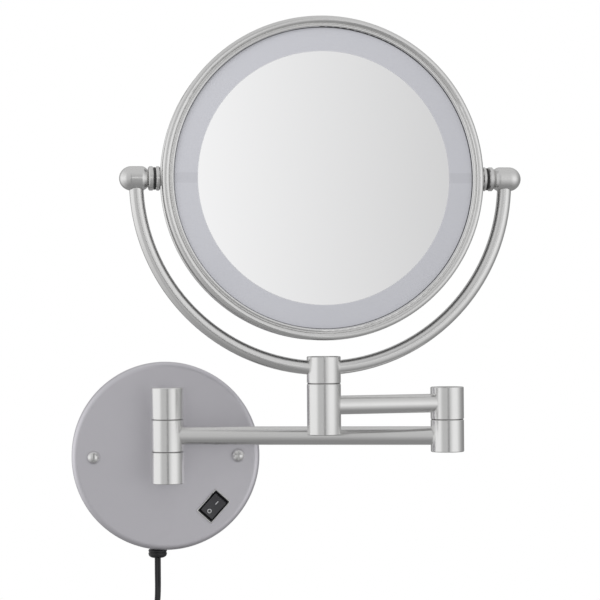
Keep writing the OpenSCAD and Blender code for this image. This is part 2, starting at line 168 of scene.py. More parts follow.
def coil_point(turned_by):
    turn = min(int(turned_by / (2 * math.pi)), len(places) - 1)
    share = turned_by / (2 * math.pi) - turn
    here, following = places[turn], places[min(turn + 1, len(places) - 1)]
    moved = ease((share - 0.7) / 0.3)
    out, along = (a + (b - a) * moved for a, b in zip(here, following))
    radius, angle = coil_radius + out * MM, math.pi + turned_by
    return coil_centre + Vector((radius * math.cos(angle), along * MM,
                                 radius * math.sin(angle)))


def towards_coil(point):
    """Moves a point of the lead in front of the coil's middle, as it comes down to it."""
    share = ease((lead[4].z - point.z) / (lead[4].z - lead[-1].z))
    start = coil_point(0)
    return point + (start - lead[-1]) * share


steps = 240
coil = [coil_point(turning * k / steps) for k in range(1, steps + 1)]
settle = 4
tail_shift = coil[-1] - tail[0]
tail = [p + tail_shift * (1 - ease(k / settle)) for k, p in enumerate(tail)]
rough = [towards_coil(p) for p in lead] + coil + tail[1:]

# %% [markdown]
# The points above have small corners where they were listed. A Catmull-Rom curve goes
# through every point and rounds the way between them.

# %% Smooth the route
def smoothed(points, spacing):
    line = []
    for k in range(len(points) - 1):
        a, b = points[max(k - 1, 0)], points[k]
        c, d = points[k + 1], points[min(k + 2, len(points) - 1)]
        parts = max(1, round((c - b).length / spacing))
        for j in range(parts):
            t = j / parts
            line.append(0.5 * ((2 * b) + (c - a) * t + (2 * a - 5 * b + 4 * c - d) * t ** 2
                               + (3 * b - a - 3 * c + d) * t ** 3))
    return line + [points[-1]]


route = smoothed(rough, 3 * MM)
print("lead is", round(length_of(route), 3), "m long on", len(route), "points")

# %% [markdown]
# The section is two circles that overlap. The cord leaves the gland with its broad side to
# the room and turns a quarter before the coil, because a flat cord only winds well over its
# thin side.

# %% Sweep the lead
lobe_points = 9
lobe_offset = lead_width / 2 - wire_radius
lobe_end = math.acos(-lobe_offset / wire_radius) - 0.05
lobe = [-lobe_end + 2 * lobe_end * k / (lobe_points - 1) for k in range(lobe_points)]
section = [(lobe_offset + wire_radius * math.cos(a), wire_radius * math.sin(a))
           for a in lobe]
section += [(-x, -y) for x, y in section]


def lead_loops(line):
    loops, gone, total = [], 0, length_of(line)
    coil_from, coil_to = length_of(rough[:len(lead)]), total - length_of(tail)
    for k, point in enumerate(line):
        along = (line[min(k + 1, len(line) - 1)] - line[max(k - 1, 0)]).normalized()
        flat = along.cross(Vector((0, 1, 0))).normalized()
        turn = ease(gone / coil_from) - ease((gone - coil_to) / (total - coil_to))
        wide = flat * math.cos(turn * math.pi / 2) + Vector((0, 1, 0)) * math.sin(
            turn * math.pi / 2)
        thin = along.cross(wide).normalized()
        loops.append([point + wide * x + thin * y for x, y in section])
        gone += (line[min(k + 1, len(line) - 1)] - point).length
    return loops


twin_lead = loft("twin_lead", lead_loops(route), "wall_base", "black_rubber", sharp=50)
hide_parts("power_cord", "cord_coil", "cord_tail")

# %% [markdown]
# ## The strap on the coil
#
# A strap of hook-and-loop tape holds the coil. It lies tight round the stack, so its shape
# is the outline that a belt takes round the turns: at each direction it rests on whichever
# turn reaches furthest, and goes round that one.

# %% Coil strap
def strap_outline(lift):
    points = []
    for k in range(72):
        angle = 2 * math.pi * k / 72
        out, side = math.cos(angle), math.sin(angle)
        furthest = max(places, key=lambda place: place[0] * out + place[1] * side)
        points.append(((furthest[0] + (1.3 + lift) * out) * MM,
                       (furthest[1] + (2.2 + lift) * side) * MM))
    return points


def strap_loop(angle, lift):
    middle = Vector((math.cos(angle), 0, math.sin(angle)))
    return [coil_centre + middle * (coil_radius + out) + Vector((0, side, 0))
            for out, side in strap_outline(lift)]


strap_from, strap_to, strap_steps = math.radians(77), math.radians(103), 6
strap_gap, strap_thick = 0.15, 0.9
spans = [strap_from + (strap_to - strap_from) * k / strap_steps
         for k in range(strap_steps + 1)]
strap_loops = [strap_loop(a, strap_gap) for a in spans]
strap_loops += [strap_loop(a, strap_gap + strap_thick) for a in reversed(spans)]
strap = loft("coil_strap", strap_loops + strap_loops[:1], "wall_base", "black_plastic",
             closed=False)
weld = bmesh.new()
weld.from_mesh(strap.data)
bmesh.ops.remove_doubles(weld, verts=weld.verts, dist=0.01 * MM)
weld.to_mesh(strap.data)
weld.free()
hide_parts("cord_tie")

# %% [markdown]
# ## Plug and gland
#
# The plug is one moulding: a ribbed neck where the lead goes in, a waist that fingers can
# grip, and softly rounded corners. Its sections are rounded rectangles that change size on
# the way down, and a round neck is only a rounded rectangle whose corners meet.

# %% Rounded rectangle loops
def rounded_loop(wide, deep, corner, place, corner_points=7):
    """A rounded rectangle; place turns (along the width, along the depth) into a point."""
    loop = []
    for quarter, (sx, sy) in enumerate([(1, 1), (-1, 1), (-1, -1), (1, -1)]):
        for k in range(corner_points):
            angle = math.pi / 2 * (quarter + k / (corner_points - 1))
            loop.append(place(sx * (wide / 2 - corner) + corner * math.cos(angle),
                              sy * (deep / 2 - corner) + corner * math.sin(angle)))
    return loop

# %% Plug
plug_low, plug_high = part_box("plug_body")
plug_top = Vector(((plug_low.x + plug_high.x) / 2, (plug_low.y + plug_high.y) / 2,
                   plug_high.z))


def plug_loop(wide, deep, corner, down):
    return rounded_loop(wide, deep, corner,
                        lambda x, y: plug_top + Vector((x, y, -down)) * MM)


neck = [(7.6 - 0.9 * (k % 2), 7.6 - 0.9 * (k % 2), 3.3, 0.1 + 0.75 * k) for k in range(9)]
shoulders = [(9, 8.6, 4, 7), (15, 11, 5, 8.6), (21.5, 13.2, 5, 10.6), (25, 14.6, 4.6, 13),
             (26, 15, 4.3, 15.6), (25.4, 14.2, 4, 18), (25, 13.4, 4, 20.5),
             (25, 13.4, 4, 23), (25.4, 14.2, 4, 25.5), (26, 15, 4, 27.6),
             (25.8, 14.8, 3.8, 29), (25, 14, 3.4, 29.8), (24, 13, 3, 30)]
plug = loft("moulded_plug", [plug_loop(*row) for row in neck + shoulders], "wall_base",
            "black_rubber")
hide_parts("plug_body")

# %% [markdown]
# The gland is a short round bush that snaps into the cover's rim and holds the lead. It is
# turned about its own axis, so its outline is given as radius and height.

# %% Gland
gland_low, gland_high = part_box("strain_relief")
gland_axis = Vector(((gland_low.x + gland_high.x) / 2, (gland_low.y + gland_high.y) / 2, 0))
gland_outline = [(2.4, -60.8), (6.6, -60.8), (7, -61.2), (7, -63.1), (6.6, -63.5),
                 (4.5, -63.6), (4.5, -66.5), (6.1, -66.6), (6.5, -67), (6.6, -67.5),
                 (6.5, -68.1), (6.15, -68.35), (6.15, -68.75), (6.5, -69), (6.6, -69.5),
                 (6.5, -70.3), (6.2, -71), (5.7, -71.6), (5, -72.1), (4.2, -72.4),
                 (3.2, -72.6), (1.5, -72.6)]


def turned_loop(radius, height, around=48):
    return [gland_axis + Vector((radius * math.cos(2 * math.pi * k / around),
                                 radius * math.sin(2 * math.pi * k / around), height)) * MM
            for k in range(around)]


gland = loft("snap_gland", [turned_loop(*row) for row in gland_outline], "wall_base",
             "black_plastic")
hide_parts("strain_relief")

# %% [markdown]
# ## The rocker switch
#
# A small snap-in switch sits at a slant in the cover. Its frame has a rounded rim, and a
# bright nickel bead round it is a painted highlight for the thin line of light the rim
# catches. The paddle is two shallow slopes that meet at the pivot, and
# it carries a printed ring for off and a printed bar for on. The pivot and its direction
# come from the model's own joint, so the pieces fit wherever the switch sits.

# %% Switch directions
pivot = Vector(joints["switch_rock"]["pos_m"])
across = Vector(joints["switch_rock"]["axis"]).normalized()
outward = Vector((0, -1, 0))
lengthways = across.cross(outward)
pivot_depth, rocker_tilt = 1.0, math.radians(8)
switch_face = pivot + outward * pivot_depth * MM
print("switch at", tuple(round(v, 4) for v in switch_face))


def on_switch(x, y, z):
    return switch_face + (lengthways * x + across * y + outward * z) * MM


def on_rocker(x, y, z):
    """A point of the paddle, measured from its pivot, tilted as it rests."""
    c, s = math.cos(rocker_tilt), math.sin(rocker_tilt)
    return pivot + (lengthways * (x * c - z * s) + across * y
                    + outward * (x * s + z * c)) * MM

# %% Switch frame
def frame_loop(long, wide, corner, height):
    return rounded_loop(long, wide, corner, lambda x, y: on_switch(x, y, height))


frame_rows = [(18.8, 12.8, 0.6, -13), (18.8, 12.8, 0.6, -0.01), (20.6, 14.1, 1, 0.02),
              (20.8, 14.3, 1.1, 0.2), (20.8, 14.3, 1.1, 0.9), (20.2, 13.7, 1, 1.3),
              (19.6, 13.1, 0.9, 1.55), (18.6, 12.2, 0.7, 1.6), (17.8, 11.6, 0.6, 1.5),
              (17.3, 11.1, 0.5, 1.2), (17, 10.8, 0.4, 0.8), (17, 10.8, 0.4, -4.8)]
switch_frame = loft("switch_frame", [frame_loop(*row) for row in frame_rows], "wall_base",
                    "black_plastic")
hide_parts("switch_housing")

# %% [markdown]
# A thin bright nickel bead runs round the frame's outer edge, as a painted highlight for the
# light that the edge catches. It is a closed ring with a half-round section, so its last
# loop meets its first.

# %% Switch bead, a painted highlight
highlight_bead_rows = [(21, 14.5, 1.1, 0.05), (21, 14.5, 1.1, 0.9), (20.8, 14.3, 1.1, 1.35),
             (20.4, 13.9, 1, 1.6), (19.9, 13.4, 0.9, 1.72), (19.4, 12.9, 0.8, 1.65),
             (19.1, 12.6, 0.8, 1.4), (19.3, 12.8, 0.8, 0.9), (20.2, 13.7, 0.9, 0.05),
             (21, 14.5, 1.1, 0.05)]
# painted highlight: this bright bead stands for the light caught by the frame's outer edge
switch_highlight_bead = loft("switch_highlight_bead", [frame_loop(*row) for row in highlight_bead_rows], "wall_base",
                   "satin_nickel", closed=False)

# %% Switch paddle
paddle_radius, crest, valley, paddle_half = 8.3, 4.6, 3.6, 5.2
crest_x = math.sqrt(paddle_radius ** 2 - crest ** 2)
crest_angle, foot_angle = math.atan2(crest, crest_x), math.asin(-2 / paddle_radius)
side = [foot_angle + (crest_angle - foot_angle) * k / 8 for k in range(9)]
slope_steps = 8


def slope_height(x):
    """The paddle's top: straight from crest to valley, hollowed a little in between."""
    share = abs(x) / crest_x
    return valley + (crest - valley) * share - 0.25 * math.sin(math.pi * share)


right_side = [(paddle_radius * math.cos(a), paddle_radius * math.sin(a)) for a in side]
top = [(crest_x * (1 - k / slope_steps), slope_height(crest_x * (1 - k / slope_steps)))
       for k in range(1, 2 * slope_steps)]
outline = right_side + top + [(-x, z) for x, z in reversed(right_side)]
edge = 0.35
centre_height = 1


def paddle_loop(offset, shrink):
    """The outline at one place across the paddle, pulled in by shrink for a soft edge."""
    loop = []
    for x, z in outline:
        away = Vector((x, z - centre_height))
        pulled = away * (1 - shrink / away.length)
        loop.append(on_rocker(pulled.x, offset, pulled.y + centre_height))
    return loop


corner_rows = [(paddle_half - edge + edge * math.sin(a), edge * (1 - math.cos(a)))
               for a in (math.radians(d) for d in (0, 30, 60, 90))]
paddle_rows = [(-offset, shrink) for offset, shrink in reversed(corner_rows)] + corner_rows
paddle = loft("rocker_paddle", [paddle_loop(*row) for row in paddle_rows], "rocker",
              "black_plastic", sharp=40)
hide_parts("switch_rocker")

# %% [markdown]
# The two marks are printed, but paint has a thickness too. Each is a very thin solid that
# follows the hollow of the paddle, so that it never sinks into it or floats over it.

# %% Printed marks
mark_lift, mark_sunk = 0.05, 0.1
mark_x = 3.9


def mark_loops(edges):
    """edges: for every step along the mark, its inner and outer (x, y) on the paddle."""
    loops = []
    for inner, outer in edges:
        corners = [(inner, -mark_sunk), (outer, -mark_sunk), (outer, mark_lift),
                   (inner, mark_lift)]
        loops.append([on_rocker(x, y, slope_height(x) + lift) for (x, y), lift in corners])
    return loops


ring_steps, ring_in, ring_out = 40, 1.05, 1.5
ring_edges = []
for k in range(ring_steps + 1):
    a = 2 * math.pi * k / ring_steps
    ring_edges.append(((-mark_x + ring_in * math.cos(a), ring_in * math.sin(a)),
                       (-mark_x + ring_out * math.cos(a), ring_out * math.sin(a))))
off_mark = loft("off_mark", mark_loops(ring_edges), "rocker", "white_plastic",
                closed=False)
bar_long, bar_half = 3.0, 0.24
bar_edges = [((mark_x - bar_long / 2 + bar_long * k / 8, -bar_half),
              (mark_x - bar_long / 2 + bar_long * k / 8, bar_half)) for k in range(9)]
on_mark = loft("on_mark", mark_loops(bar_edges), "rocker", "white_plastic")

# %% [markdown]
# ## The magnifying glass
#
# The glass on the back is a shallow dish, part of a sphere of 640 mm radius, so a face in it
# looks larger. A mirror shows every facet, so this one is turned afresh as a smooth dish
# with a loop of points every three millimetres. The edge stays flat where the bezel holds it.

# %% Dished glass
band_low, band_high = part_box("head_band")
head_centre = (band_low + band_high) / 2
tilt_axis = Vector(joints["head_tilt"]["axis"]).normalized()
head_axis = Vector((0, 0, 1)).cross(tilt_axis).normalized()
backward = head_axis if head_axis.y > 0 else -head_axis
dish_radius, dish_edge, glass_edge, glass_face, glass_thick = 640, 99, 102.5, 9.4, 2.5


def dish_depth(radius):
    """How far the face lies behind the head's middle, for a radius in mm."""
    deepest = math.sqrt(dish_radius ** 2 - dish_edge ** 2)
    return glass_face - (math.sqrt(dish_radius ** 2 - radius ** 2) - deepest)


def glass_loop(radius, behind, around=144):
    middle = head_centre + backward * behind * MM
    return [middle + (tilt_axis * math.cos(a) + Vector((0, 0, 1)) * math.sin(a)) * radius * MM
            for a in (2 * math.pi * k / around for k in range(around))]


face_radii = [0.2] + list(range(3, dish_edge + 1, 3))
glass_rows = [(r, dish_depth(r) - glass_thick) for r in face_radii]
glass_rows += [(glass_edge, glass_face - glass_thick), (glass_edge, glass_face)]
glass_rows += [(r, dish_depth(r)) for r in reversed(face_radii)]
dished_glass = loft("dished_glass", [glass_loop(*row) for row in glass_rows], "head",
                    "silvered_glass", sharp=30)
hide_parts("rear_mirror")

# %% [markdown]
# ## Shared effects
#
# Real finishes are never perfectly even. Four effects come up again and again here, so each
# is a node group, built once and placed in every material with its own values:
#
# - satin_grain: the fine tooth that plating over blasted metal has;
# - handling: soft patches where hands and cleaning cloths have changed the gloss;
# - settled_dust: a little dust on whatever faces up;
# - moulded_skin: the pebbled skin that a steel mould gives to plastic.
#
# A group gives out only masks, values and heights. The shader itself stays in the material.

# %% Group helpers
def new_group(name, inputs, outputs):
    tree = bpy.data.node_groups.new(name, "ShaderNodeTree")
    for title, kind, value in inputs:
        socket = tree.interface.new_socket(title, in_out="INPUT", socket_type=kind)
        socket.default_value = value
    for title in outputs:
        tree.interface.new_socket(title, in_out="OUTPUT", socket_type="NodeSocketFloat")
    return tree, tree.nodes.new("NodeGroupInput"), tree.nodes.new("NodeGroupOutput")


def add(tree, kind, inputs=None, **settings):
    """Adds a node. inputs maps a socket's name or number to a value or to a socket."""
    node = tree.nodes.new(kind)
    for name, value in settings.items():
        setattr(node, name, value)
    for name, value in (inputs or {}).items():
        if isinstance(value, bpy.types.NodeSocket):
            tree.links.new(value, node.inputs[name])
        else:
            node.inputs[name].default_value = value
    return node


def noise(tree, position, scale, detail=3):
    return add(tree, "ShaderNodeTexNoise", {"Vector": position, "Scale": scale,
                                            "Detail": detail}).outputs["Fac"]


def spread(tree, value, low, high, to_low, to_high):
    """Stretches a value from the range low..high to the range to_low..to_high."""
    return add(tree, "ShaderNodeMapRange", {"Value": value, "From Min": low,
                                            "From Max": high, "To Min": to_low,
                                            "To Max": to_high}).outputs["Result"]


def calculate(tree, operation, a, b=0.0):
    return add(tree, "ShaderNodeMath", {0: a, 1: b}, operation=operation).outputs[0]

# %% Satin grain group
FLOAT, VECTOR = "NodeSocketFloat", "NodeSocketVector"
grain_tree, given, result = new_group(
    "satin_grain", [("Position", VECTOR, (0, 0, 0)), ("Fineness", FLOAT, 4000.0),
                    ("Smoothest", FLOAT, 0.2), ("Roughest", FLOAT, 0.3)],
    ["Roughness", "Height"])
fine = add(grain_tree, "ShaderNodeTexNoise", {"Vector": given.outputs["Position"],
                                              "Scale": given.outputs["Fineness"],
                                              "Detail": 2.0}).outputs["Fac"]
grain_tree.links.new(spread(grain_tree, fine, 0.3, 0.7, given.outputs["Smoothest"],
                            given.outputs["Roughest"]), result.inputs["Roughness"])
grain_tree.links.new(fine, result.inputs["Height"])

# %% Handling group
handling_tree, given, result = new_group(
    "handling", [("Position", VECTOR, (0, 0, 0)), ("Size", FLOAT, 25.0),
                 ("Amount", FLOAT, 0.5)], ["Mask"])
patch = add(handling_tree, "ShaderNodeTexNoise",
            {"Vector": given.outputs["Position"], "Scale": given.outputs["Size"],
             "Detail": 4.0, "Distortion": 0.6}).outputs["Fac"]
handling_tree.links.new(
    calculate(handling_tree, "MULTIPLY", spread(handling_tree, patch, 0.45, 0.7, 0.0, 1.0),
              given.outputs["Amount"]), result.inputs["Mask"])

# %% Settled dust group
dust_tree, given, result = new_group(
    "settled_dust", [("Position", VECTOR, (0, 0, 0)), ("Amount", FLOAT, 0.3)], ["Mask"])
facing = add(dust_tree, "ShaderNodeSeparateXYZ",
             {0: add(dust_tree, "ShaderNodeNewGeometry").outputs["Normal"]}).outputs["Z"]
lying = spread(dust_tree, facing, 0.55, 1.0, 0.0, 1.0)
specks = spread(dust_tree, noise(dust_tree, given.outputs["Position"], 900.0), 0.45, 0.75,
                0.15, 1.0)
dust_tree.links.new(
    calculate(dust_tree, "MULTIPLY", calculate(dust_tree, "MULTIPLY", lying, specks),
              given.outputs["Amount"]), result.inputs["Mask"])

# %% Moulded skin group
skin_tree, given, result = new_group(
    "moulded_skin", [("Position", VECTOR, (0, 0, 0)), ("Pebbles", FLOAT, 1800.0),
                     ("Smoothest", FLOAT, 0.35), ("Roughest", FLOAT, 0.5)],
    ["Roughness", "Height"])
pebble = add(skin_tree, "ShaderNodeTexVoronoi",
             {"Vector": given.outputs["Position"], "Scale": given.outputs["Pebbles"]},
             feature="SMOOTH_F1").outputs["Distance"]
skin_tree.links.new(pebble, result.inputs["Height"])
skin_tree.links.new(spread(skin_tree, noise(skin_tree, given.outputs["Position"], 60.0),
                           0.3, 0.7, given.outputs["Smoothest"],
                           given.outputs["Roughest"]), result.inputs["Roughness"])
print("groups:", [g.name for g in bpy.data.node_groups])

# %% [markdown]
# ## Metals
#
# All the visible metal is satin nickel: bright, a little warm, and blurred just enough that
# a lamp becomes a soft band. The pressed cover has the same plating over a coarser blast,
# so it is darker, softer and slightly purple. The band round the head, between its two
# bezels, is steel coloured much darker than the nickel, as painted shade for the recess
# between the bezels. The hidden fasteners are plated steel and the bushes are brass. One
# function makes every metal here, because only the values differ.

# %% Material helpers
def start_material(name):
    made = bpy.data.materials.new(name)
    made.use_nodes = True
    tree = made.node_tree
    position = add(tree, "ShaderNodeTexCoord").outputs["Object"]
    return made, tree, tree.nodes["Principled BSDF"], position


def place_group(tree, group_tree, inputs):
    node = tree.nodes.new("ShaderNodeGroup")
    node.node_tree = group_tree
    for name, value in inputs.items():
        if isinstance(value, bpy.types.NodeSocket):
            tree.links.new(value, node.inputs[name])
        else:
            node.inputs[name].default_value = value
    return node.outputs


def blend_colour(tree, mask, low, high):
    """low where the mask is 0, high where it is 1; each is a colour or a socket."""
    node = tree.nodes.new("ShaderNodeMix")
    node.data_type = "RGBA"
    colours = [socket for socket in node.inputs if socket.type == "RGBA"]
    tree.links.new(mask, node.inputs[0])
    for socket, value in zip(colours, (low, high)):
        if isinstance(value, bpy.types.NodeSocket):
            tree.links.new(value, socket)
        else:
            socket.default_value = (*value, 1)
    return [socket for socket in node.outputs if socket.type == "RGBA"][0]


def bump(tree, shader, height, strength, distance):
    made = add(tree, "ShaderNodeBump", {"Height": height, "Strength": strength,
                                        "Distance": distance})
    tree.links.new(made.outputs["Normal"], shader.inputs["Normal"])


def feed(tree, shader, name, value):
    tree.links.new(value, shader.inputs[name])

# %% Metal materials
DUST = (0.62, 0.60, 0.57)


def metal(name, clean, handled, smoothest, roughest, fineness, grain_depth, dust=0.15):
    made, tree, shader, position = start_material(name)
    grain = place_group(tree, grain_tree, {"Position": position, "Fineness": fineness,
                                           "Smoothest": smoothest, "Roughest": roughest})
    touched = place_group(tree, handling_tree, {"Position": position, "Size": 22.0,
                                                "Amount": 0.6})["Mask"]
    dusty = place_group(tree, dust_tree, {"Position": position, "Amount": dust})["Mask"]
    colour = blend_colour(tree, touched, clean, handled)
    feed(tree, shader, "Base Color", blend_colour(tree, dusty, colour, DUST))
    feed(tree, shader, "Metallic", spread(tree, dusty, 0.0, 1.0, 1.0, 0.4))
    dulled = calculate(tree, "MULTIPLY", touched, 0.05)
    rough = calculate(tree, "ADD", grain["Roughness"], dulled)
    feed(tree, shader, "Roughness", calculate(tree, "ADD", rough,
                                              calculate(tree, "MULTIPLY", dusty, 0.5)))
    bump(tree, shader, grain["Height"], grain_depth, 0.02 * MM)
    return made


satin_nickel = metal("satin_nickel", (0.79, 0.788, 0.784), (0.76, 0.756, 0.75), 0.20, 0.25,
                     3800.0, 0.1)
satin_cover = metal("satin_cover", (0.74, 0.727, 0.77), (0.70, 0.688, 0.73), 0.40, 0.47,
                    2600.0, 0.2)
# painted shade: the band's dark colour stands for the shade in the recess between the two bezels
shaded_band_steel = metal("shaded_band_steel", (0.27, 0.27, 0.275), (0.24, 0.24, 0.24), 0.26, 0.34, 3000.0,
                   0.1)
plated_steel = metal("plated_steel", (0.56, 0.57, 0.60), (0.50, 0.50, 0.50), 0.28, 0.42,
                     1500.0, 0.6)
brass = metal("nickel_washed_brass", (0.80, 0.70, 0.45), (0.70, 0.58, 0.34), 0.16, 0.26,
              3000.0, 0.3)

# %% [markdown]
# ## The glass
#
# Each glass is one disc. Its silver stops 15 mm short of the edge, and the ring outside it
# is frosted so that the lights behind it glow evenly. On this object the lights are off, so
# the ring is a pale, slightly lavender grey. A thin dark line of painted shade, where the
# bezel's lip shades the glass, runs round its very edge, and a slightly darker bar crosses
# the ring at three and at nine o'clock. The borders are found by distance from the head's
# own axis, which takes a centre and a direction from the model.

# %% Ring mask group
ring_tree, given, result = new_group(
    "inside_radius", [("Position", VECTOR, (0, 0, 0)), ("Centre", VECTOR, (0, 0, 0)),
                      ("Axis", VECTOR, (0, 1, 0)), ("Radius", FLOAT, 0.1),
                      ("Softness", FLOAT, 0.001)], ["Mask", "Distance"])
from_centre = add(ring_tree, "ShaderNodeVectorMath",
                  {0: given.outputs["Position"], 1: given.outputs["Centre"]},
                  operation="SUBTRACT").outputs["Vector"]
sideways = add(ring_tree, "ShaderNodeVectorMath",
               {0: from_centre, 1: given.outputs["Axis"]},
               operation="CROSS_PRODUCT").outputs["Vector"]
distance = add(ring_tree, "ShaderNodeVectorMath", {0: sideways},
               operation="LENGTH").outputs["Value"]
inner = calculate(ring_tree, "SUBTRACT", given.outputs["Radius"], given.outputs["Softness"])
ring_tree.links.new(spread(ring_tree, distance, inner, given.outputs["Radius"], 1.0, 0.0),
                    result.inputs["Mask"])
ring_tree.links.new(distance, result.inputs["Distance"])

# %% Silvered glass
silver_radius, lip_shade_radius, bar_half_height = 85.2 * MM, 100.5 * MM, 3.2 * MM
print("head centre", tuple(round(v, 4) for v in head_centre))


def silvered(name, ring_light, ring_dark):
    made, tree, shader, position = start_material(name)
    silver = place_group(tree, ring_tree, {
        "Position": position, "Centre": head_centre, "Axis": head_axis,
        "Radius": silver_radius, "Softness": 0.7 * MM})["Mask"]
    touched = place_group(tree, handling_tree, {"Position": position, "Size": 14.0,
                                                "Amount": 1.0})["Mask"]
    frost = blend_colour(tree, touched, ring_light, ring_dark)
    height = add(tree, "ShaderNodeSeparateXYZ", {0: position}).outputs["Z"]
    off_axis = calculate(tree, "ABSOLUTE", calculate(tree, "SUBTRACT", height, head_centre.z))
    bars = spread(tree, off_axis, bar_half_height, bar_half_height + 0.4 * MM, 0.93, 1.0)
    frost = blend_colour(tree, bars, (0, 0, 0), frost)
    # painted shade: a thin near-black line at the glass's edge stands for the shade under the bezel's lip
    clear_of_lip_shade = place_group(tree, ring_tree, {
        "Position": position, "Centre": head_centre, "Axis": head_axis,
        "Radius": lip_shade_radius, "Softness": 0.1 * MM})["Mask"]
    frost = blend_colour(tree, clear_of_lip_shade, (0.05, 0.05, 0.055), frost)
    feed(tree, shader, "Base Color", blend_colour(tree, silver, frost, (0.93, 0.93, 0.935)))
    feed(tree, shader, "Metallic", silver)
    cleaned = spread(tree, touched, 0.0, 1.0, 0.015, 0.035)
    frosted = spread(tree, noise(tree, position, 2500.0), 0.3, 0.7, 0.34, 0.42)
    rough = tree.nodes.new("ShaderNodeMix")
    tree.links.new(silver, rough.inputs[0])
    tree.links.new(frosted, rough.inputs[2])
    tree.links.new(cleaned, rough.inputs[3])
    feed(tree, shader, "Roughness", rough.outputs[0])
    return made


front_glass = silvered("front_glass", (0.60, 0.605, 0.65), (0.585, 0.59, 0.635))
rear_glass = silvered("rear_glass", (0.60, 0.605, 0.65), (0.585, 0.59, 0.635))

# %% [markdown]
# ## Plastics and rubber
#
# The switch, gland and washers are moulded in black; the lead and plug are softer black
# vinyl with a low gloss. White nylon and white vinyl are inside.

# %% Plastic materials
def moulded(name, colour, worn, pebbles, smoothest, roughest, depth, dust=0.25, gloss=0.5):
    made, tree, shader, position = start_material(name)
    shader.inputs["Specular IOR Level"].default_value = gloss
    skin = place_group(tree, skin_tree, {"Position": position, "Pebbles": pebbles,
                                         "Smoothest": smoothest, "Roughest": roughest})
    touched = place_group(tree, handling_tree, {"Position": position, "Size": 60.0,
                                                "Amount": 0.8})["Mask"]
    dusty = place_group(tree, dust_tree, {"Position": position, "Amount": dust})["Mask"]
    body = blend_colour(tree, touched, colour, worn)
    feed(tree, shader, "Base Color", blend_colour(tree, dusty, body, DUST))
    feed(tree, shader, "Roughness", skin["Roughness"])
    bump(tree, shader, skin["Height"], depth, 0.03 * MM)
    return made


black_plastic = moulded("black_plastic", (0.012, 0.012, 0.014), (0.02, 0.02, 0.022), 1600.0,
                        0.20, 0.28, 0.2, gloss=0.4)
rocker_plastic = moulded("rocker_plastic", (0.045, 0.044, 0.05), (0.06, 0.06, 0.064),
                         2200.0, 0.30, 0.40, 0.2, dust=0.1)
washer_rubber = moulded("washer_rubber", (0.02, 0.02, 0.021), (0.03, 0.03, 0.03), 900.0,
                        0.5, 0.65, 0.4)
cord_vinyl = moulded("cord_vinyl", (0.010, 0.010, 0.012), (0.018, 0.018, 0.02), 700.0, 0.20,
                     0.30, 0.2, gloss=0.45)
white_plastic = moulded("white_plastic", (0.80, 0.80, 0.79), (0.74, 0.74, 0.72), 900.0,
                        0.35, 0.5, 0.3)
mark_paint = moulded("mark_paint", (0.78, 0.78, 0.80), (0.62, 0.62, 0.64), 2600.0, 0.4,
                     0.55, 0.2, dust=0.0)
light_chip = moulded("light_chip", (0.86, 0.74, 0.30), (0.80, 0.66, 0.24), 500.0, 0.2, 0.3,
                     0.1, dust=0.0)

# %% [markdown]
# The strap is hook-and-loop tape: its face is a field of small loops, so its height is a
# fine cell pattern and its colour is broken up by the same cells.

# %% Strap material
strap_cloth, tree, shader, position = start_material("strap_cloth")
cells = add(tree, "ShaderNodeTexVoronoi", {"Vector": position, "Scale": 1400.0})
fuzz = spread(tree, cells.outputs["Distance"], 0.0, 0.7, 0.0, 1.0)
feed(tree, shader, "Base Color", blend_colour(tree, fuzz, (0.05, 0.05, 0.054),
                                              (0.012, 0.012, 0.013)))
feed(tree, shader, "Roughness", spread(tree, fuzz, 0.0, 1.0, 0.75, 0.95))
bump(tree, shader, fuzz, 0.8, 0.2 * MM)

# %% [markdown]
# The light boards are white circuit boards. Two copper rings run under the white coating
# and show as faintly raised bands, and each chip sits between them.

# %% Board material
board_white, tree, shader, position = start_material("board_white")
radius = place_group(tree, ring_tree, {"Position": position, "Centre": head_centre,
                                       "Axis": head_axis})["Distance"]
bands = calculate(tree, "SINE", calculate(tree, "MULTIPLY", radius, 2 * math.pi / (4 * MM)))
copper = spread(tree, bands, 0.1, 0.3, 0.0, 1.0)
feed(tree, shader, "Base Color", blend_colour(tree, copper, (0.82, 0.83, 0.81),
                                              (0.76, 0.77, 0.74)))
feed(tree, shader, "Roughness", spread(tree, noise(tree, position, 400.0), 0.3, 0.7, 0.3,
                                       0.42))
bump(tree, shader, copper, 0.5, 0.04 * MM)

# %% [markdown]
# ## Put the finishes on
#
# The record says which slot each node belongs to, so the finishes follow from the slots.
# A few nodes differ from the rest of their slot: the washers are rubbery, and each glass
# has its own material.

# %% Assign materials
by_slot = {"satin_nickel": satin_nickel, "satin_cover": satin_cover,
           "plated_steel": plated_steel, "black_plastic": black_plastic,
           "black_rubber": cord_vinyl, "brass": brass, "silvered_glass": front_glass,
           "white_plastic": white_plastic, "white_board": board_white,
           "light_chip": light_chip}
by_piece = {"dished_glass": rear_glass, "head_band": shaded_band_steel, "wall_washers": washer_rubber,
            "elbow_washer": washer_rubber, "swivel_washer": washer_rubber,
            "pivot_washers": washer_rubber, "rocker_paddle": rocker_plastic,
            "coil_strap": strap_cloth, "off_mark": mark_paint, "on_mark": mark_paint}
slot_of = {part["node"]: part["material_slot"] for part in frame["record"]["subparts"]}


def finish(piece, slot_name):
    piece.data.materials.clear()
    piece.data.materials.append(by_piece.get(piece.name, by_slot[slot_name]))


for name, node in nodes.items():
    finish(node, slot_of[name])
made_here = (twin_lead, strap, plug, gland, switch_frame, switch_highlight_bead, paddle, off_mark,
             on_mark, dished_glass)
for piece in made_here:
    finish(piece, piece["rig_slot"])
print("finished", len(nodes), "nodes and", len(made_here), "pieces")

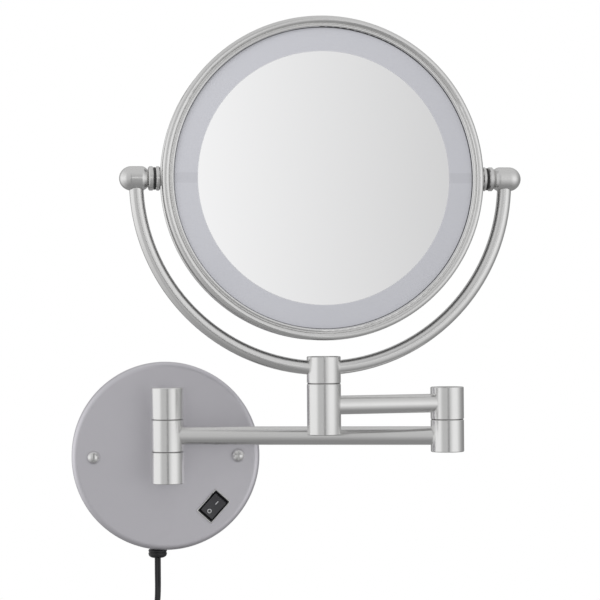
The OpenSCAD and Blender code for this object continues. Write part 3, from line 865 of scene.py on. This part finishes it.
# %% [markdown]
# ## The studio
#
# Satin metal shows its surroundings, so the studio is what makes it look like metal. The
# background is plain white for the camera. What the metal sees is a small studio: a
# large softbox to the left, a smaller one to the front right, a pale wall behind the camera
# with a dark gap for the lens, a dim room behind the object, a ceiling and a floor. On a
# round column this gives two bright bands, a fine dark line down the middle and dark edges.
#
# Each piece of the studio is one value and one place around the object. Zero is straight to
# the front, and a positive angle is to the object's right.

# %% Surrounding light
ROOM_LEVEL, WALL_LEVEL, CEILING_LEVEL, FLOOR_LEVEL = 0.3, 0.6, 0.65, 0.3

world = bpy.data.worlds.new("studio")
bpy.context.scene.world = world
world.use_nodes = True
tree = world.node_tree
background = tree.nodes["Background"]
direction = add(tree, "ShaderNodeTexCoord").outputs["Generated"]
parts = add(tree, "ShaderNodeSeparateXYZ", {0: direction}).outputs
towards_room = calculate(tree, "MULTIPLY", parts["Y"], -1.0)
azimuth = calculate(tree, "ARCTAN2", parts["X"], towards_room)


def panel(middle, half_width, fade, inside, outside):
    """A flat panel on the horizon, with a soft edge. Its angles are in degrees."""
    offset = calculate(tree, "SUBTRACT", azimuth, math.radians(middle))
    away = calculate(tree, "ARCCOSINE", calculate(tree, "COSINE", offset))
    return spread(tree, away, math.radians(half_width), math.radians(half_width + fade),
                  inside, outside)


pale_wall = panel(0, 60, 60, WALL_LEVEL, ROOM_LEVEL)
left_softbox = panel(-90, 30, 30, 1.0, ROOM_LEVEL)
right_softbox = panel(45, 15, 45, 1.0, ROOM_LEVEL)
lens_gap = panel(0, 2, 12, 0.15, 1.0)
light = calculate(tree, "MAXIMUM", pale_wall, left_softbox)
light = calculate(tree, "MAXIMUM", light, right_softbox)
light = calculate(tree, "MINIMUM", light, lens_gap)
depth = calculate(tree, "MULTIPLY", parts["Z"], -1.0)
light = blend_colour(tree, spread(tree, parts["Z"], 0.1, 0.8, 0.0, 1.0), light,
                     (CEILING_LEVEL, CEILING_LEVEL, CEILING_LEVEL))
light = blend_colour(tree, spread(tree, depth, 0.1, 0.9, 0.0, 1.0), light,
                     (FLOOR_LEVEL, FLOOR_LEVEL, FLOOR_LEVEL))
seen = add(tree, "ShaderNodeLightPath").outputs["Is Camera Ray"]
tree.links.new(blend_colour(tree, seen, light, (1, 1, 1)), background.inputs["Color"])
bpy.context.scene.view_settings.view_transform = "Standard"
print("world", world.name, "with", len(tree.nodes), "nodes")

# %% [markdown]
# The glass sees one place in particular. A wide oval card stands there, lit more from the
# left, and fills the glass with a soft even tone. Its place follows from the camera and the
# head: it is where the glass sends the camera's gaze. Card, lamps and floor belong to the
# studio and not to the mirror.

# %% Card, lamps and floor
def stage_disc(name, centre, first, second):
    """A round or oval disc of the studio. first and second are its two half axes."""
    corners = [centre + first * math.cos(a) + second * math.sin(a)
               for a in (2 * math.pi * k / 64 for k in range(64))]
    data = bpy.data.meshes.new(name)
    data.from_pydata(corners, [], [tuple(range(64))])
    made = bpy.data.objects.new(name, data)
    bpy.context.scene.collection.objects.link(made)
    return made


gaze = (head_centre - camera_at).normalized()
bounced = gaze - head_axis * 2 * gaze.dot(head_axis)
card_y, card_half_width, card_half_height = -3.0, 0.896, 0.28
card_centre = head_centre + bounced * (card_y - head_centre.y) / bounced.y
card = stage_disc("reflector_card", card_centre, Vector((card_half_width, 0, 0)),
                  Vector((0, 0, card_half_height)))
card.visible_camera = False
print("card at", tuple(round(v, 3) for v in card_centre))
card_paint = bpy.data.materials.new("card_paint")
card_paint.use_nodes = True
tree = card_paint.node_tree
tree.nodes.remove(tree.nodes["Principled BSDF"])
place = add(tree, "ShaderNodeTexCoord").outputs["Object"]
card_x = add(tree, "ShaderNodeSeparateXYZ", {0: place}).outputs["X"]
bright_end, dim_end, bright_until, dim_from = 1.0, 0.65, 0.3, 1.0
glow = add(tree, "ShaderNodeEmission",
           {"Strength": spread(tree, card_x, bright_until, dim_from, bright_end, dim_end)})
tree.links.new(glow.outputs[0], tree.nodes["Material Output"].inputs["Surface"])
card.data.materials.append(card_paint)

floor_z, floor_radius = -0.62, 3.0
floor = stage_disc("floor", Vector((0, 0, floor_z)), Vector((floor_radius, 0, 0)),
                   Vector((0, floor_radius, 0)))
floor.visible_glossy = False
floor_paint, tree, shader, place = start_material("floor_paint")
feed(tree, shader, "Base Color", blend_colour(tree, noise(tree, place, 3.0),
                                              (0.86, 0.86, 0.85), (0.90, 0.90, 0.89)))
shader.inputs["Roughness"].default_value = 0.8
floor.data.materials.append(floor_paint)


def soft_lamp(name, place, aim, size, power):
    lamp = bpy.data.lights.new(name, "AREA")
    lamp.shape, lamp.size, lamp.energy = "SQUARE", size, power
    made = bpy.data.objects.new(name, lamp)
    made.location = place
    made.rotation_euler = (Vector(aim) - Vector(place)).to_track_quat("-Z", "Y").to_euler()
    made.visible_camera = made.visible_glossy = False
    bpy.context.scene.collection.objects.link(made)


soft_lamp("key_light", head_centre + Vector((-0.42, -0.42, 0.36)), head_centre, 0.5, 2.0)
